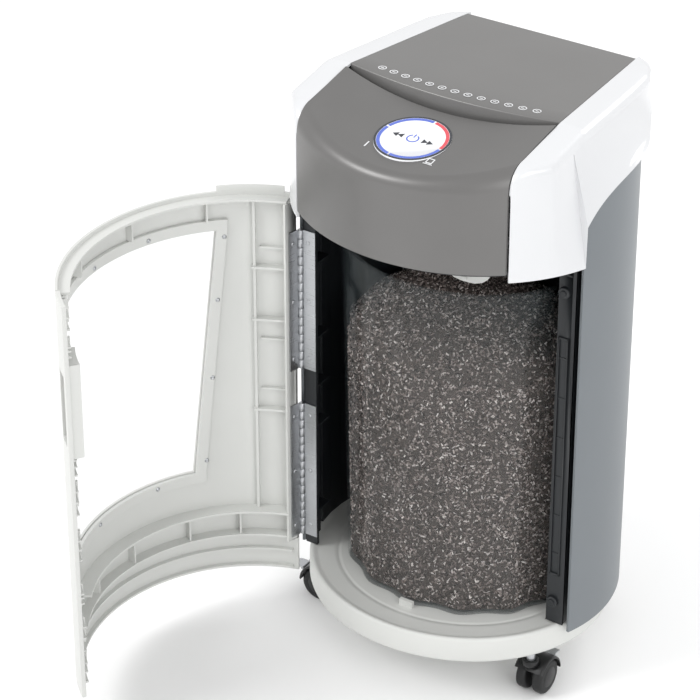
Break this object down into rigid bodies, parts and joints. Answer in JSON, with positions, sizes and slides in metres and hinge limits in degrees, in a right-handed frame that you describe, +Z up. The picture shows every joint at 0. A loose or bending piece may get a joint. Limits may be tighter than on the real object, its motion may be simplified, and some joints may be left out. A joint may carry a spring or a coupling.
{
  "type": "paper shredder",
  "caption": "Drum-shaped office paper shredder on casters, its curved windowed door open on a clear fluted bin of shreds.",
  "frame": {"origin": "middle of the footprint on the floor, door open", "axes": "+Z up, -Y towards the front of the machine, +X to the viewer's right"},
  "size_m": [0.479, 0.562, 0.6644],
  "materials": {
    "head_grey": "satin metallic grey moulding",
    "gloss_white": "gloss moulding",
    "white_plastic": "fine matt moulding",
    "slate_paint": "satin powder coat",
    "black_plastic": "matt moulding",
    "steel": "plain zinc-plated steel",
    "blade_steel": "ground hardened steel",
    "nylon": "natural nylon",
    "board": "circuit board lacquer",
    "disc_white": "touch panel, gloss",
    "clear_plastic": "clear moulded plastic",
    "shredded_paper": "cross-cut paper shreds",
    "tyre_black": "hard rubber tread on black hubs"
  },
  "bodies": {
    "cabinet": {"base_tray": "white_plastic", "right_side_panel": "slate_paint", "left_side_panel": "slate_paint", "rear_panel": "slate_paint", "right_inner_wall": "black_plastic", "left_inner_wall": "black_plastic", "rear_inner_wall": "black_plastic", "latch_post": "black_plastic", "hinge_post": "black_plastic", "head_floor": "black_plastic", "front_cover": "head_grey", "control_disc": "disc_white", "rear_top_cover": "head_grey", "right_head_cover": "gloss_white", "left_head_cover": "gloss_white", "front_throat_plate": "black_plastic", "rear_throat_plate": "black_plastic", "left_cutter_plate": "steel", "right_cutter_plate": "steel", "front_tie_rod": "steel", "rear_tie_rod": "steel", "front_stripper_comb": "black_plastic", "rear_stripper_comb": "black_plastic", "motor": "steel", "control_board": "board", "power_inlet": "black_plastic", "switch_housing": "black_plastic", "door_interlock_switch": "black_plastic", "body_hinge_leaf_lower": "steel", "body_hinge_leaf_upper": "steel", "hinge_pin_lower": "steel", "hinge_pin_upper": "steel"},
    "door": {"door_shell": "white_plastic", "door_window_frame": "white_plastic", "door_window_pane": "clear_plastic", "door_edge_strip": "white_plastic", "door_latch_plate": "white_plastic", "door_hinge_leaf_lower": "steel", "door_hinge_leaf_upper": "steel"},
    "bin": {"shred_bin": "clear_plastic", "shred_heap": "shredded_paper"},
    "front_cutter": {"front_cutter_shaft": "blade_steel", "front_sync_gear": "steel"},
    "rear_cutter": {"rear_cutter_shaft": "blade_steel", "rear_sync_gear": "steel", "drive_gear": "steel"},
    "idler": {"idler_gear": "nylon"},
    "pinion": {"motor_pinion": "steel"},
    "flap": {"bin_full_flap": "white_plastic"},
    "rocker": {"mains_switch_rocker": "black_plastic"},
    "front_right_caster": {"front_right_caster_hood": "black_plastic"},
    "front_right_wheels": {"front_right_caster_wheels": "tyre_black"},
    "front_right_brake": {"front_right_caster_brake": "steel"},
    "front_left_caster": {"front_left_caster_hood": "black_plastic"},
    "front_left_wheels": {"front_left_caster_wheels": "tyre_black"},
    "front_left_brake": {"front_left_caster_brake": "steel"},
    "rear_right_caster": {"rear_right_caster_hood": "black_plastic"},
    "rear_right_wheels": {"rear_right_caster_wheels": "tyre_black"},
    "rear_left_caster": {"rear_left_caster_hood": "black_plastic"},
    "rear_left_wheels": {"rear_left_caster_wheels": "tyre_black"}
  },
  "joints": [
    {"name": "door_hinge", "type": "hinge", "parent": "cabinet", "child": "door", "pos_m": [-0.10436, 0.038, 0.284], "axis": [0, 0, -1], "range_deg": [-104, 20]},
    {"name": "bin_tilt", "type": "hinge", "parent": "cabinet", "child": "bin", "pos_m": [0.05364, 0, 0.085], "axis": [1, 0, 0], "range_deg": [0, 12]},
    {"name": "rear_cutter_spin", "type": "hinge", "parent": "cabinet", "child": "rear_cutter", "pos_m": [0.05364, 0.085, 0.575], "axis": [1, 0, 0], "continuous": true},
    {"name": "front_cutter_spin", "type": "hinge", "parent": "cabinet", "child": "front_cutter", "pos_m": [0.05364, 0.047, 0.575], "axis": [1, 0, 0], "continuous": true},
    {"name": "idler_spin", "type": "hinge", "parent": "cabinet", "child": "idler", "pos_m": [0.19764, 0.12578, 0.59402], "axis": [1, 0, 0], "continuous": true},
    {"name": "motor_spin", "type": "hinge", "parent": "cabinet", "child": "pinion", "pos_m": [0.19764, 0.1701, 0.5862], "axis": [1, 0, 0], "continuous": true},
    {"name": "flap_swing", "type": "hinge", "parent": "cabinet", "child": "flap", "pos_m": [0.10164, 0.028, 0.524], "axis": [1, 0, 0], "range_deg": [-60, 10]},
    {"name": "rocker_press", "type": "hinge", "parent": "cabinet", "child": "rocker", "pos_m": [-0.00436, 0.262, 0.575], "axis": [1, 0, 0], "range_deg": [-10, 10]},
    {"name": "front_right_swivel", "type": "hinge", "parent": "cabinet", "child": "front_right_caster", "pos_m": [0.18864, 0.035, 0.05], "axis": [0, 0, 1], "continuous": true},
    {"name": "front_right_roll", "type": "hinge", "parent": "front_right_caster", "child": "front_right_wheels", "pos_m": [0.18864, 0.049, 0.02], "axis": [1, 0, 0], "continuous": true},
    {"name": "front_right_brake_lever", "type": "hinge", "parent": "front_right_caster", "child": "front_right_brake", "pos_m": [0.18864, 0.0734, 0.0299], "axis": [1, 0, 0], "range_deg": [0, 20]},
    {"name": "front_left_swivel", "type": "hinge", "parent": "cabinet", "child": "front_left_caster", "pos_m": [-0.08436, 0.072, 0.05], "axis": [0, 0, 1], "continuous": true},
    {"name": "front_left_roll", "type": "hinge", "parent": "front_left_caster", "child": "front_left_wheels", "pos_m": [-0.09836, 0.072, 0.02], "axis": [0, 1, 0], "continuous": true},
    {"name": "front_left_brake_lever", "type": "hinge", "parent": "front_left_caster", "child": "front_left_brake", "pos_m": [-0.12276, 0.072, 0.0299], "axis": [0, 1, 0], "range_deg": [0, 20]},
    {"name": "rear_right_swivel", "type": "hinge", "parent": "cabinet", "child": "rear_right_caster", "pos_m": [0.15164, 0.198, 0.05], "axis": [0, 0, 1], "continuous": true},
    {"name": "rear_right_roll", "type": "hinge", "parent": "rear_right_caster", "child": "rear_right_wheels", "pos_m": [0.15164, 0.212, 0.02], "axis": [1, 0, 0], "continuous": true},
    {"name": "rear_left_swivel", "type": "hinge", "parent": "cabinet", "child": "rear_left_caster", "pos_m": [-0.04436, 0.198, 0.05], "axis": [0, 0, 1], "continuous": true},
    {"name": "rear_left_roll", "type": "hinge", "parent": "rear_left_caster", "child": "rear_left_wheels", "pos_m": [-0.04436, 0.212, 0.02], "axis": [1, 0, 0], "continuous": true}
  ],
  "couplings": [
    {"joint": "front_cutter_spin", "follows": "rear_cutter_spin", "ratio": -1},
    {"joint": "idler_spin", "follows": "rear_cutter_spin", "ratio": -4},
    {"joint": "motor_spin", "follows": "rear_cutter_spin", "ratio": 16}
  ]
}
